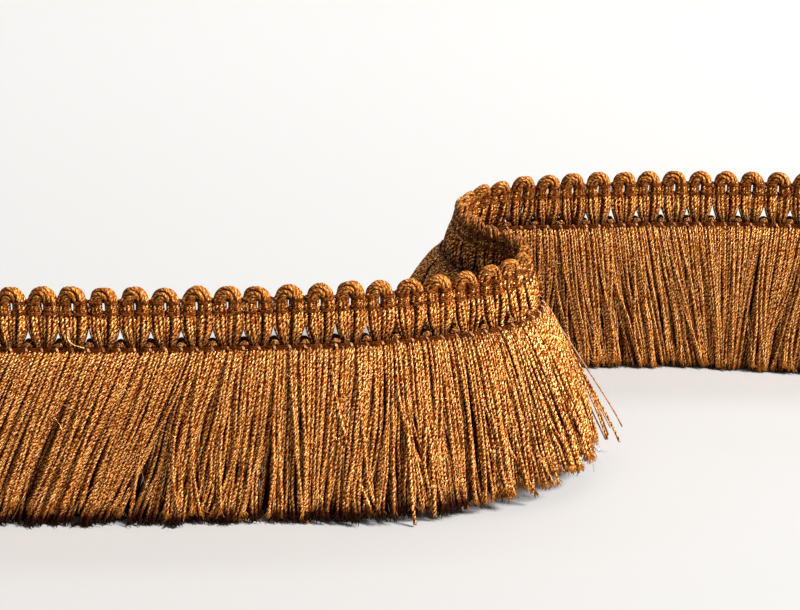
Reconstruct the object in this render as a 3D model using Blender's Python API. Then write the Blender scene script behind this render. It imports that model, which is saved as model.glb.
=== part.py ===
"""Brush fringe: a cut length of metallic yarn trimming, standing on the ends of its skirt in an S.

The heading is one piece, a foot strip with a row of upright loops of yarn on it. Under it hangs the
skirt of cut yarn, in locks whose roots are fused into backing strips, one for each fold of the S.
Each piece is first modelled straight, in the trimming's own coordinates: s along it, d across it
(positive to the right of the way it runs) and z up. on_route() then carries its points onto the S.

Metres, +Z up. +X runs along the front run of the S, and -Y is the side that it shows. The origin is
under the middle of the whole, on the plane that the skirt stands on.
"""

import math
from collections import namedtuple

import bmesh
import bpy
import numpy as np

# Heights of the trimming, from the ends of the skirt up
TOTAL_HEIGHT = 0.050
SKIRT_HEIGHT = 0.0372
SEAT_GAP = 0.0003

# Loops of the heading
LOOP_PITCH = 0.0062
LOOP_SIDES = 6
ARCH_RADIUS = 0.0015
FOOT_STRIP_HEIGHT = 0.0012
FOOT_STRIP_HALF = 0.0014
FOOT_DEPTH = 0.0006

# Locks of the skirt
LOCKS_PER_LOOP = 3
LOCK_FILL = 0.82
ROW_GAP = 0.0004
ROW_STAGGER = 0.24
BACKING_HEIGHT = 0.0016
LOCK_UNEVEN_ALONG = 0.00006
LOCK_UNEVEN_ACROSS = 0.0004
SEED = 7

# The S: its first point and first direction, and how evenly one fold runs into the next
ROUTE_START = (-0.10663, -0.04946)
ROUTE_HEADING = -5.7
ROUTE_STEP = 0.00025
BEND_SMOOTHING = 0.012
SPLAY_SMOOTHING = 0.018
STRAIGHT_BEYOND = 0.030

# Below the heading the skirt springs out fastest at its roots: 1 is a straight slope
SKIRT_SPRING = 1.3

# Each fold: its loops, its turn to the left in degrees, how far to the right of the loops' tops the
# heading's foot (tilt) and the skirt's ends (splay) stand, and how far the ends run ahead (lean)
Fold = namedtuple("Fold", "name loops turn tilt splay lean")
FOLDS = (
    Fold("front_run_left", 7, 7.0, 0.0, 0.0, -0.018),
    Fold("front_run_right", 7, 6.5, 0.0, 0.0, -0.008),
    Fold("right_bend_start", 5, 21.5, 0.0004, 0.0035, 0.0),
    Fold("right_bend_in", 3, 51.0, 0.0022, 0.0105, 0.001),
    Fold("right_bend_out", 3, 49.5, 0.0022, 0.014, 0.0),
    Fold("middle_run", 4, -40.5, -0.0015, -0.005, 0.0),
    Fold("left_bend_in", 3, -43.0, -0.005, -0.021, 0.0),
    Fold("left_bend_out", 2, -30.0, -0.005, -0.019, 0.0),
    Fold("back_run_left", 8, -20.0, 0.0, -0.004, 0.001),
    Fold("back_run_right", 8, -13.0, 0.0, -0.0005, 0.001),
)

# Stations up a leg of a loop: height, distance of the leg's middle from the loop's, radius of the leg
Leg = namedtuple("Leg", "z out radius")
LEGS = (
    Leg(SKIRT_HEIGHT + SEAT_GAP + FOOT_DEPTH, 0.00128, 0.00108),
    Leg(0.0412, 0.00153, 0.00136),
    Leg(0.0441, 0.00150, 0.00112),
    Leg(0.0468, 0.00150, 0.00120),
)
ARCH_TUBE_RADIUS = 0.00128
ARCH_ANGLES = (140, 90, 40)

# Stations down a lock: height, half the skirt's thickness there, share of the locks' pitch filled
Station = namedtuple("Station", "z half fill")
ROOT = Station(SKIRT_HEIGHT - BACKING_HEIGHT, 0.0017, LOCK_FILL)
STATIONS = (
    Station(0.020, 0.0038, 0.84),
    Station(0.0, 0.0039, 0.80),
)

# Finishes: colour, roughness and how metallic
Finish = namedtuple("Finish", "name colour roughness metallic")
LOOPED_YARN = Finish("looped_metallic_yarn", (0.28, 0.105, 0.027, 1), 0.42, 0.35)
CUT_YARN = Finish("cut_metallic_yarn", (0.26, 0.095, 0.024, 1), 0.45, 0.35)

LOOPS = sum(fold.loops for fold in FOLDS)
LENGTH = LOOPS * LOOP_PITCH
LOCK_PITCH = LOOP_PITCH / LOCKS_PER_LOOP


def smoothed(values, window):
    """The running mean of an array of values a ROUTE_STEP apart."""
    half = int(round(window / ROUTE_STEP / 2))
    padded = np.pad(values, half, mode="edge")
    return np.convolve(padded, np.full(2 * half + 1, 1 / (2 * half + 1)), "valid")


def along_route(per_fold, beyond):
    """One value for each fold, as an array of steps along the route, with a stretch past each end."""
    steps = [np.full(int(round(fold.loops * LOOP_PITCH / ROUTE_STEP)), value)
             for fold, value in zip(FOLDS, per_fold)]
    extra = int(round(STRAIGHT_BEYOND / ROUTE_STEP))
    first, last = beyond or (per_fold[0], per_fold[-1])
    return np.concatenate([np.full(extra, first), *steps, np.full(extra, last)])


def route():
    """Arrays along the S: place along it, x, y, direction, tilt, splay and lean.

    Each fold turns evenly. The turning is smoothed, summed once for the direction and once more for
    the path, which runs straight on past both ends. Tilt, splay and lean are smoothed twice.
    """
    turning = [math.radians(fold.turn) / (fold.loops * LOOP_PITCH) for fold in FOLDS]
    bend = smoothed(along_route(turning, (0.0, 0.0)), BEND_SMOOTHING)
    place = np.arange(len(bend)) * ROUTE_STEP - STRAIGHT_BEYOND
    start = int(round(STRAIGHT_BEYOND / ROUTE_STEP))
    direction = np.cumsum(bend) * ROUTE_STEP
    direction += math.radians(ROUTE_HEADING) - direction[start]
    x = np.cumsum(np.cos(direction)) * ROUTE_STEP
    y = np.cumsum(np.sin(direction)) * ROUTE_STEP
    x += ROUTE_START[0] - x[start]
    y += ROUTE_START[1] - y[start]
    hang = []
    for column in ("tilt", "splay", "lean"):
        values = along_route([getattr(fold, column) for fold in FOLDS], None)
        hang.append(smoothed(smoothed(values, SPLAY_SMOOTHING), SPLAY_SMOOTHING))
    return place, x, y, direction, *hang


ROUTE = route()


def on_route(points):
    """Straight points (s, d, z) carried onto the S.

    Under the heading a point runs ahead by its fold's lean, in proportion to its depth. It stands
    to the right of the route by d and by the fold's own slope, which reaches its tilt evenly at the
    heading's foot, and its splay at the skirt's ends along a curve that flattens towards them.
    """
    place, x, y, direction, tilt, splay, lean = ROUTE
    s, d, z = np.asarray(points, float).T
    down_skirt = np.clip((SKIRT_HEIGHT - z) / SKIRT_HEIGHT, 0, 1)
    down_heading = np.clip((TOTAL_HEIGHT - z) / (TOTAL_HEIGHT - SKIRT_HEIGHT), 0, 1)
    sprung = 1 - (1 - down_skirt) ** SKIRT_SPRING
    s = s + np.interp(s, place, lean) * down_skirt
    foot = np.interp(s, place, tilt)
    out = d + foot * down_heading + (np.interp(s, place, splay) - foot) * sprung
    angle = np.interp(s, place, direction)
    return np.column_stack([
        np.interp(s, place, x) + np.sin(angle) * out,
        np.interp(s, place, y) - np.cos(angle) * out,
        z,
    ])


def material(finish):
    """A Principled material of the finish's values."""
    made = bpy.data.materials.new(finish.name)
    made.use_nodes = True
    made.diffuse_color = finish.colour
    shader = made.node_tree.nodes["Principled BSDF"]
    shader.inputs["Base Color"].default_value = finish.colour
    shader.inputs["Roughness"].default_value = finish.roughness
    shader.inputs["Metallic"].default_value = finish.metallic
    return made


def add_object(name, bm, surface):
    """The straight mesh bent onto the S, as a named object with its material.

    d runs to the right of s, not to its left as z's own sense would have it, so bending turns the
    faces inside out, and they are reversed first.
    """
    bmesh.ops.reverse_faces(bm, faces=bm.faces)
    mesh = bpy.data.meshes.new(name)
    bm.to_mesh(mesh)
    bm.free()
    points = np.empty(len(mesh.vertices) * 3)
    mesh.vertices.foreach_get("co", points)
    mesh.vertices.foreach_set("co", on_route(points.reshape(-1, 3)).ravel())
    mesh.materials.append(surface)
    obj = bpy.data.objects.new(name, mesh)
    bpy.context.scene.collection.objects.link(obj)
    return obj


def slab(bm, along, across, top, height):
    """A flat bar on a grid of lines along and across it. Returns the faces of its underside."""
    grid = [[bm.verts.new((s, d, top)) for d in across] for s in along]
    faces = [bm.faces.new((grid[i][j], grid[i + 1][j], grid[i + 1][j + 1], grid[i][j + 1]))
             for i in range(len(along) - 1) for j in range(len(across) - 1)]
    grown = bmesh.ops.extrude_face_region(bm, geom=faces, use_keep_orig=True)["geom"]
    lower = [item for item in grown if isinstance(item, bmesh.types.BMVert)]
    bmesh.ops.translate(bm, verts=lower, vec=(0, 0, -height))
    bmesh.ops.recalc_face_normals(bm, faces=bm.faces)
    return [item for item in grown if isinstance(item, bmesh.types.BMFace)]


def loop_path(middle):
    """Centres and radii of one upright loop: up a leg, over the arch and down the other leg."""
    arch_z = TOTAL_HEIGHT - ARCH_TUBE_RADIUS - ARCH_RADIUS
    up = [(middle - leg.out, leg.z, leg.radius) for leg in LEGS]
    over = [(middle + ARCH_RADIUS * math.cos(math.radians(angle)),
             arch_z + ARCH_RADIUS * math.sin(math.radians(angle)), ARCH_TUBE_RADIUS)
            for angle in ARCH_ANGLES]
    down = [(middle + leg.out, leg.z, leg.radius) for leg in reversed(LEGS)]
    return np.array(up + over + down)


def add_tube(bm, path):
    """A closed tube with a ring of LOOP_SIDES points square to its path at each station."""
    centres, radii = path[:, :2], path[:, 2]
    ahead = np.gradient(centres, axis=0)
    ahead /= np.linalg.norm(ahead, axis=1)[:, None]
    rings = []
    for (s, z), (ds, dz), radius in zip(centres, ahead, radii):
        ring = []
        for side in range(LOOP_SIDES):
            angle = 2 * math.pi * side / LOOP_SIDES
            outward = radius * math.cos(angle)
            ring.append(bm.verts.new((s - dz * outward, radius * math.sin(angle), z + ds * outward)))
        rings.append(ring)
    for ring, following in zip(rings, rings[1:]):
        for side in range(LOOP_SIDES):
            beside = (side + 1) % LOOP_SIDES
            bm.faces.new((ring[side], following[side], following[beside], ring[beside]))
    bm.faces.new(rings[0])
    bm.faces.new(reversed(rings[-1]))


def add_heading(surface):
    """The looped heading: its foot strip joined with its row of loops."""
    end_gap = LOCK_PITCH * (1 - LOCK_FILL) / 2
    along = np.linspace(end_gap, LENGTH - end_gap, 2 * LOOPS + 1)
    strip = bmesh.new()
    top = SKIRT_HEIGHT + SEAT_GAP + FOOT_STRIP_HEIGHT
    slab(strip, along, (-FOOT_STRIP_HALF, FOOT_STRIP_HALF), top, FOOT_STRIP_HEIGHT)
    heading = add_object("heading", strip, surface)

    loops = bmesh.new()
    for loop in range(LOOPS):
        add_tube(loops, loop_path((loop + 0.5) * LOOP_PITCH))
    row = add_object("heading_loops", loops, surface)
    row.hide_render = True
    row.display_type = "WIRE"

    union = heading.modifiers.new("loops", "BOOLEAN")
    union.operation = "UNION"
    union.solver = "EXACT"
    union.object = row


def put_lock_section(face, middle, side, station, uneven):
    """Moves the new end of a lock to a station, each corner on its own side of the lock's middle.

    Below the backing the two rows are staggered, so that each lock covers a slit of the other row.
    """
    above = np.mean([vert.co.x for vert in face.verts])
    centre = middle + side * ROW_STAGGER * LOCK_PITCH + uneven[0]
    for vert in face.verts:
        beyond = math.copysign(station.fill * LOCK_PITCH / 2, vert.co.x - above)
        outer = abs(vert.co.y) > ROW_GAP
        reach = station.half + uneven[1] if outer else ROW_GAP / 2
        vert.co = (centre + beyond, side * reach, station.z)


def add_skirt(fold, first_loop, rng, surface):
    """One fold's backing strip with its two rows of locks, pulled out of the strip's underside."""
    middles = (first_loop * LOCKS_PER_LOOP + np.arange(fold.loops * LOCKS_PER_LOOP) + 0.5) * LOCK_PITCH
    half_width = ROOT.fill * LOCK_PITCH / 2
    along = np.column_stack([middles - half_width, middles + half_width]).ravel()
    across = (-ROOT.half, -ROW_GAP / 2, ROW_GAP / 2, ROOT.half)
    bm = bmesh.new()
    for face in slab(bm, along, across, SKIRT_HEIGHT, BACKING_HEIGHT):
        centre = face.calc_center_median()
        nearest = middles[np.abs(middles - centre.x).argmin()]
        if abs(nearest - centre.x) > half_width / 2 or abs(centre.y) < ROW_GAP:
            continue
        side = math.copysign(1, centre.y)
        for station in STATIONS:
            uneven = rng.uniform(-1, 1, 2) * (LOCK_UNEVEN_ALONG, LOCK_UNEVEN_ACROSS)
            face = bmesh.ops.extrude_discrete_faces(bm, faces=[face])["faces"][0]
            put_lock_section(face, nearest, side, station, uneven)
    add_object("skirt_" + fold.name, bm, surface)


def build():
    for obj in list(bpy.data.objects):
        bpy.data.objects.remove(obj, do_unlink=True)
    add_heading(material(LOOPED_YARN))
    cut_yarn = material(CUT_YARN)
    rng = np.random.default_rng(SEED)
    first_loop = 0
    for fold in FOLDS:
        add_skirt(fold, first_loop, rng, cut_yarn)
        first_loop += fold.loops


build()
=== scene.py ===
"""Looks of the brush fringe: every yarn of its skirt and heading, its binding and its stray ends.

The trimming stands in an S. Each piece is worked out straight, in the trimming's own coordinates:
s along it, d across it (positive to the right of the way it runs) and z up. on_route() carries the
points onto the S, by the same folds as the solids. Lengths are in metres.
"""
import math
from collections import namedtuple

import bpy
import numpy as np
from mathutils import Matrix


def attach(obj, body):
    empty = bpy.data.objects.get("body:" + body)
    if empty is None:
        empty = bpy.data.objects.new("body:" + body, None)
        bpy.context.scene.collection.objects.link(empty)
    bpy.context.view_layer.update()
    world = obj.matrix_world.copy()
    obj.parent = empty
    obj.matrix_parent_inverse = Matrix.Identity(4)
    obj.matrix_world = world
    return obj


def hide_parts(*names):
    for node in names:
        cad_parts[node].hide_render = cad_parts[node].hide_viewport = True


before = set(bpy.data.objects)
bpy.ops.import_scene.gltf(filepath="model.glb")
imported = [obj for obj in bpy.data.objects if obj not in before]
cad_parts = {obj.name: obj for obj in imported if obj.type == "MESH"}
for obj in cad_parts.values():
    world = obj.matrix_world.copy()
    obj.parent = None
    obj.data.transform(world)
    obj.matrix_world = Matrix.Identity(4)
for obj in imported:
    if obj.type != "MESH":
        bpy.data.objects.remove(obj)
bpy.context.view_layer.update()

MM = 0.001
SEED = 11

# Heights of the trimming, above the surface that it stands on
TOTAL_HEIGHT = 50 * MM
SKIRT_HEIGHT = 37.2 * MM
LOOP_PITCH = 6.2 * MM
LEG_PITCH = LOOP_PITCH / 2

# The S, as in the solids
ROUTE_START = (-106.63 * MM, -49.46 * MM)
ROUTE_HEADING = -5.7
ROUTE_STEP = 0.25 * MM
BEND_SMOOTHING = 12 * MM
SPLAY_SMOOTHING = 18 * MM
STRAIGHT_BEYOND = 30 * MM
SKIRT_SPRING = 1.3

# Each fold: its loops, its turn to the left in degrees, how far to the right of the loops' tops the
# heading's foot (tilt) and the skirt's ends (splay) stand, how much higher than elsewhere its ends
# are off the floor (rise), and how many yarns it has for one elsewhere (full)
Fold = namedtuple("Fold", "name loops turn tilt splay rise full")
FOLDS = (
    Fold("front_run_left", 7, 7.0, 0.0, 0.0, 0.0, 1.1),
    Fold("front_run_right", 7, 6.5, 0.0, 0.0, 0.0, 1.1),
    Fold("right_bend_start", 5, 21.5, 0.4, 5.0, 0.8, 1.1),
    Fold("right_bend_in", 3, 51.0, 2.2, 12.0, 4.2, 1.4),
    Fold("right_bend_out", 3, 49.5, 2.2, 14.0, 4.2, 1.4),
    Fold("middle_run", 4, -40.5, -1.5, -5.0, 1.0, 1.0),
    Fold("left_bend_in", 3, -43.0, -5.0, -27.5, 6.5, 1.4),
    Fold("left_bend_out", 2, -30.0, -5.0, -24.0, 5.5, 1.4),
    Fold("back_run_left", 8, -20.0, 0.0, -4.0, 0.0, 1.1),
    Fold("back_run_right", 8, -13.0, 0.0, -0.5, 0.0, 1.1),
)
LOOPS = sum(fold.loops for fold in FOLDS)
LENGTH = LOOPS * LOOP_PITCH

# How the skirt was combed, in millimetres, at places along it: how far its ends run ahead, and how
# far its bunches' ends wander from that
Comb = namedtuple("Comb", "along ahead wander")
COMBING = (
    Comb(0, -16.0, 1.5), Comb(31, -17.0, 1.5), Comb(54, -15.0, 1.4), Comb(60, -11.0, 1.2),
    Comb(69, -6.5, 1.1), Comb(76, -2.5, 1.1), Comb(80, -1.8, 1.1), Comb(86, -3.6, 1.0),
    Comb(92, -3.6, 1.0), Comb(98, -1.0, 1.0), Comb(106, 1.5, 0.9), Comb(118, 3.0, 0.9),
    Comb(127, 3.0, 0.8), Comb(137, 1.5, 0.8), Comb(155, 0.0, 0.8), Comb(180, 0.0, 1.0),
    Comb(205, 2.0, 1.0), Comb(215, 5.0, 1.3), Comb(240, 6.5, 1.7), Comb(248, 5.5, 1.8),
    Comb(259, 0.5, 1.8), Comb(266, -3.5, 1.8), Comb(310, -4.0, 2.0),
)
COMB_PLACES, COMB_AHEAD, COMB_WANDER = np.array(COMBING).T * MM

# Skirt: its yarn's thickness and the least and most share of it, the height of its roots, half the
# skirt's thickness at the roots, in its belly and at the ends, and how far down the belly begins
SKIRT_YARN = 0.72 * MM
SKIRT_YARN_SIZES = (0.8, 1.1)
SKIRT_TOP = SKIRT_HEIGHT - 0.2 * MM
ROOT_HALF = 1.80 * MM
BELLY_HALF = 3.30 * MM
END_HALF = 3.45 * MM
BELLY_AT = 0.28

# A wave down a yarn: its size and how many there are
Wave = namedtuple("Wave", "size waves")

# Its bunches: their widths, how far at random they stand out and are longer, how they sway, and the
# power of the way down by which they wander
BUNCH_NARROWEST = 1.5 * MM
BUNCH_WIDEST = 4.4 * MM
BUNCH_OUT = 0.45 * MM
BUNCH_LONGER = 0.45 * MM
BUNCH_SWAY = Wave(0.7 * MM, 0.7)
BUNCH_POWER = 1.4

# A yarn of it: how far each second row and a root stand aside, as shares of the yarns' pitch, how far
# a yarn is off its row, as a share of half the thickness, how far it wanders and by what power, how
# much longer it is, and its waves
ROW_ASIDE = 0.5
ROOT_JITTER = 0.4
DEPTH_JITTER = 0.06
YARN_WANDER = 0.7 * MM
YARN_POWER = 1.3
YARN_LONGER = 0.35 * MM
WAVES_ALONG = (Wave(0.40 * MM, 0.8), Wave(0.16 * MM, 2.2))
WAVES_ACROSS = (Wave(0.25 * MM, 0.7), Wave(0.12 * MM, 2.0))

# Its stray yarns: their share, how much further they wander and how far they lie on top
STRAY_SHARE = 0.09
STRAY_WANDER = 3.2 * MM
STRAY_ON_TOP = 0.4 * MM

# Its ends: their least height off the floor, from what share of the way down the inner ones spread,
# the share of a yarn that is frayed, how untwisted it gets, and the tips' share of its thickness
SHORTEST_LIFT = 0.30 * MM
SPREAD_FROM = 0.86
FRAYED_SHARE = 0.05
FRAYED_LOOSE = 0.6
OUTER_TIP = 1.15
INNER_TIP = 0.6

# The fine fibres of an end: their number and radius, how far they spread along, across and up and by
# what power, and their lengths as shares of the frayed stretch
FIBRES = 6
FIBRE_RADIUS = 0.10 * MM
FIBRE_SPREAD = (0.55 * MM, 0.45 * MM, 0.15 * MM)
FIBRE_POWER = 1.5
FIBRE_LENGTHS = (0.8, 1.5)

# Layers whose ends have fibres, how deep the painted shade on these is at least and at most, and how
# much deeper it is where the skirt is grounded
Fray = namedtuple("Fray", "layer dark under")
FRAYS = (Fray(0, (0.0, 0.6), 0.0), Fray(1, (0.3, 0.8), 1.1))

# Shade on the skirt: how dark it is at the roots, down to what share of the way, and from what share
# the inner ends are in the skirt's own shade. Then where along it those are no longer and still
# grounded, and where the back run's fibres have none and all of their share of that shade
ROOT_PAINTED_SHADE = 0.32
ROOT_PAINTED_SHADE_UNTIL = 0.15
UNDER_FROM = 0.91
GROUNDED_GOES = (120 * MM, 102 * MM)
BACK_COMES = (205 * MM, 223 * MM)
BACK_SHADE = 0.4

# Layers of the skirt, from its faces inwards: where their rows stand (as shares of half its
# thickness), yarns for each loop, stations and sides, how far their ends lift off the floor and
# spread over it, how uneven these are, their shares of the lift where the skirt is combed aslant and
# where a fold rises, and of a bunch's wander, how far its yarns draw together, and how deep the
# painted shade on them is, deeper for the inner layers
Layer = namedtuple("Layer", "rows yarns stations sides lift spread uneven combed rise wander pull tint")
LAYERS = (
    Layer((-1.0, 1.0), 8, 14, 4, 1.2 * MM, 0.0, 1.0, 0.55, 1.0, 1.0, (0.15, 0.85), 0.0),
    Layer((-0.82, 0.82), 9, 14, 4, 0.55 * MM, 1.6 * MM, 0.15, 0.0, 1.5, 0.9, (0.0, 0.15), 0.1),
    Layer((-0.60, -0.40, 0.40, 0.60), 8, 10, 4, 0.35 * MM, 1.1 * MM, 0.2, 0.0, 1.5, 0.7, (0.10, 0.40),
          0.35),
    Layer((-0.2, 0.0, 0.2), 10, 6, 3, 0.3 * MM, 0.0, 0.2, 0.0, 1.5, 0.2, (0.0, 0.10), 0.7),
)

# Heading: loops of thick yarn, bound together twice near their tops
LOOP_YARN = 0.80 * MM
ARCH_RADIUS = 1.46 * MM
ARCH_TUBE = 1.34 * MM

# How a loop differs from the next at random: its place, its height (middle and spread) and its lean
LOOP_SHIFT = 0.06 * MM
LOOP_TALLER = (-0.05 * MM, 0.22 * MM)
LOOP_LEAN = 0.12 * MM

# Its arch's twist in radians, how uneven that is, and between which shares of the loop it comes
ARCH_TWIST = 2.1
TWIST_UNEVEN = 0.15
TWIST_STRETCH = (0.3, 0.7)

# A yarn in its bundle: how far off its place it lies, as a share, how far it wobbles and by how many
# radians from a station to the next, and the least and most share of its thickness
BUNDLE_JITTER = 0.14
WOBBLE = 0.05 * MM
WOBBLE_TURN = 0.8
LOOP_YARN_SIZES = (0.92, 1.08)

# The bundle's core, as a share of the bundle's half width or depth, and how deep the painted shade on
# it is
CORE_SHARE = 0.6
CORE_PAINTED_SHADE = 0.6

# Camera, where the photograph was taken from: pitch down in degrees, lens and sensor in millimetres
CAMERA_PLACE = (-6.84 * MM, -501.02 * MM, 185.4 * MM)
CAMERA_PITCH = 17.2
CAMERA_LENS = 105.5
CAMERA_SENSOR = 36.0


# Route

def smoothed(values, window):
    """The running mean of an array of values a ROUTE_STEP apart."""
    half = int(round(window / ROUTE_STEP / 2))
    padded = np.pad(values, half, mode="edge")
    return np.convolve(padded, np.full(2 * half + 1, 1 / (2 * half + 1)), "valid")


def along_route(per_fold, beyond=None):
    """One value for each fold, as an array of steps along the route, with a stretch past each end."""
    steps = [np.full(int(round(fold.loops * LOOP_PITCH / ROUTE_STEP)), value)
             for fold, value in zip(FOLDS, per_fold)]
    extra = int(round(STRAIGHT_BEYOND / ROUTE_STEP))
    first, last = beyond or (per_fold[0], per_fold[-1])
    return np.concatenate([np.full(extra, first), *steps, np.full(extra, last)])


def route():
    """Arrays along the S: place along it, x, y, direction, tilt, splay and rise.

    Each fold turns evenly. The turning is smoothed, summed once for the direction and once more for
    the path, which runs straight on past both ends. Tilt, splay and rise are smoothed twice.
    """
    turning = [math.radians(fold.turn) / (fold.loops * LOOP_PITCH) for fold in FOLDS]
    bend = smoothed(along_route(turning, (0.0, 0.0)), BEND_SMOOTHING)
    place = np.arange(len(bend)) * ROUTE_STEP - STRAIGHT_BEYOND
    start = int(round(STRAIGHT_BEYOND / ROUTE_STEP))
    direction = np.cumsum(bend) * ROUTE_STEP
    direction += math.radians(ROUTE_HEADING) - direction[start]
    x = np.cumsum(np.cos(direction)) * ROUTE_STEP
    y = np.cumsum(np.sin(direction)) * ROUTE_STEP
    x += ROUTE_START[0] - x[start]
    y += ROUTE_START[1] - y[start]
    hang = []
    for column in ("tilt", "splay", "rise"):
        values = along_route([getattr(fold, column) * MM for fold in FOLDS])
        hang.append(smoothed(smoothed(values, SPLAY_SMOOTHING), SPLAY_SMOOTHING))
    return place, x, y, direction, *hang


ROUTE = route()


def as_points(s, d, z):
    """Three coordinates, arrays or single ones, as one array of points."""
    return np.stack(np.broadcast_arrays(s, d, z), -1)


def on_route(points):
    """Straight points (..., 3) of s, d and z carried onto the S.

    Under the heading a point runs ahead as the skirt was combed, in proportion to its depth. It
    stands to the right of the route by d and by the fold's own slope, which reaches its tilt evenly
    at the heading's foot, and its splay at the skirt's ends along a curve that flattens towards them.
    """
    place, x, y, direction, tilt, splay, rise = ROUTE
    s, d, z = np.moveaxis(points, -1, 0)
    down_skirt = np.clip((SKIRT_HEIGHT - z) / SKIRT_HEIGHT, 0, 1)
    down_heading = np.clip((TOTAL_HEIGHT - z) / (TOTAL_HEIGHT - SKIRT_HEIGHT), 0, 1)
    sprung = 1 - (1 - down_skirt) ** SKIRT_SPRING
    s = s + np.interp(s, COMB_PLACES, COMB_AHEAD) * down_skirt
    foot = np.interp(s, place, tilt)
    out = d + foot * down_heading + (np.interp(s, place, splay) - foot) * sprung
    angle = np.interp(s, place, direction)
    return as_points(np.interp(s, place, x) + np.sin(angle) * out,
                     np.interp(s, place, y) - np.cos(angle) * out, z)


def across_route(s):
    """The unit vector to the right of the route at each s."""
    angle = np.interp(s, ROUTE[0], ROUTE[3])
    return as_points(np.sin(angle), -np.cos(angle), 0.0)


# Meshes

def unit(vectors):
    """Vectors cut or stretched to a length of one."""
    return vectors / np.linalg.norm(vectors, axis=-1, keepdims=True)


def eased(value, start=0.0, stop=1.0):
    """From 0 at the start to 1 at the stop, level at both, which may run downwards: three times the
    square of the share of the way less twice its cube."""
    share = np.clip((value - start) / (stop - start), 0, 1)
    return share * share * (3 - 2 * share)


def new_object(name, data):
    """An object of the data, in the scene."""
    made = bpy.data.objects.new(name, data)
    bpy.context.scene.collection.objects.link(made)
    return made


def swept(paths, radius, across, sides):
    """Rings of points round paths (n, m, 3), as an array (n, m, sides, 3).

    Each ring is the path's point plus the radius times (cosine of an even angle times U plus its
    sine times V). T is the path's direction, U is the across vector made square to T, and V is T
    cross U.
    """
    ahead = unit(np.gradient(paths, axis=1))
    across = np.broadcast_to(across, paths.shape)
    u = unit(across - (across * ahead).sum(-1, keepdims=True) * ahead)
    v = np.cross(ahead, u)
    angle = 2 * np.pi * np.arange(sides)[:, None] / sides
    ring = np.cos(angle) * u[:, :, None] + np.sin(angle) * v[:, :, None]
    radius = np.broadcast_to(radius, paths.shape[:2])
    return paths[:, :, None] + radius[:, :, None, None] * ring


# Yarns of one kind: their straight-laid paths (n, m, 3), radius, number of sides, the way that their
# first side faces, how deep the painted shade on them is (up to 1, and further for ends under the
# skirt) and how untwisted (loose, up to 1)
Strands = namedtuple("Strands", "flat radius sides across tint loose", defaults=(4, None, 0.0, 0.0))
POINT_VALUES = ("strand", "tint", "loose")


def strand_arrays(strands, rng):
    """The points, face corners, face sizes, corner UVs and point values of one set of yarns.

    Quads join each ring to the next, and each yarn's two ends are closed. A corner's UV is the share
    of the way round in u and the length in millimetres in v. The point values are one random number
    for each yarn, the painted shade on it and its looseness.
    """
    paths = on_route(strands.flat)
    n, m = paths.shape[:2]
    sides = strands.sides
    across = across_route(strands.flat[..., 0]) if strands.across is None else strands.across
    rings = swept(paths, strands.radius, across, sides)
    index = np.arange(n * m * sides).reshape(n, m, sides)
    low, high = index[:, :-1], index[:, 1:]
    quads = np.stack([low, np.roll(low, -1, 2), np.roll(high, -1, 2), high], -1).reshape(-1, 4)
    caps = np.concatenate([index[:, 0, ::-1], index[:, -1]])
    corners = np.concatenate([quads.ravel(), caps.ravel()])
    sizes = np.repeat([4, sides], [len(quads), len(caps)])

    steps = np.linalg.norm(np.diff(paths, axis=1), axis=-1)
    length = np.concatenate([np.zeros((n, 1)), np.cumsum(steps, 1)], 1) / MM
    v = np.repeat(length.ravel(), sides)[corners]
    side = np.arange(sides) / sides
    one_ring = np.stack([side, side + 1 / sides, side + 1 / sides, side], -1).ravel()
    u = np.concatenate([np.tile(one_ring, n * (m - 1)), np.full(caps.size, 0.25)])

    values = [np.broadcast_to(kind, (n, m)).ravel()
              for kind in (rng.random((n, 1)), strands.tint, strands.loose)]
    return rings.reshape(-1, 3), corners, sizes, np.stack([u, v], -1), np.repeat(values, sides, 1)


def yarn_piece(name, sets, material):
    """One object of sets of round yarns, carried onto the S, with the UV map "yarn" and the point
    values as attributes."""
    rng = np.random.default_rng(SEED)
    points, corners, sizes, uvs, values = zip(*(strand_arrays(strands, rng) for strands in sets))
    firsts = np.cumsum([0] + [len(part) for part in points[:-1]])
    corners = np.concatenate([part + first for part, first in zip(corners, firsts)])
    points, sizes, uvs, values = (np.concatenate(parts, axis) for parts, axis in
                                  ((points, 0), (sizes, 0), (uvs, 0), (values, 1)))
    mesh = bpy.data.meshes.new(name)
    mesh.vertices.add(len(points))
    mesh.vertices.foreach_set("co", points.ravel())
    mesh.loops.add(len(corners))
    mesh.loops.foreach_set("vertex_index", corners)
    mesh.polygons.add(len(sizes))
    mesh.polygons.foreach_set("loop_start", np.cumsum(sizes) - sizes)
    mesh.update(calc_edges=True)
    mesh.polygons.foreach_set("use_smooth", np.ones(len(sizes), bool))
    mesh.uv_layers.new(name="yarn").data.foreach_set("uv", uvs.ravel())
    for kind, value in zip(POINT_VALUES, values):
        mesh.attributes.new(kind, "FLOAT", "POINT").data.foreach_set("value", value)
    mesh.materials.append(material)
    piece = new_object(name, mesh)
    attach(piece, "root")
    return piece


# Materials

def linear(sheet):
    """An sRGB hex colour as linear values with full alpha."""
    values = np.array([int(sheet[i:i + 2], 16) for i in (1, 3, 5)]) / 255
    values = np.where(values <= 0.04045, values / 12.92, ((values + 0.055) / 1.055) ** 2.4)
    return (*values, 1.0)


def new_material(name):
    """A material with its node tree and its Principled shader."""
    made = bpy.data.materials.new(name)
    made.use_nodes = True
    return made, made.node_tree, made.node_tree.nodes["Principled BSDF"]


def connect(tree, node, inputs):
    """Sets a node's inputs to values or links them to sockets, by number or name."""
    for key, value in (inputs.items() if isinstance(inputs, dict) else enumerate(inputs)):
        if isinstance(value, bpy.types.NodeSocket):
            tree.links.new(value, node.inputs[key])
        else:
            node.inputs[key].default_value = value


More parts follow.
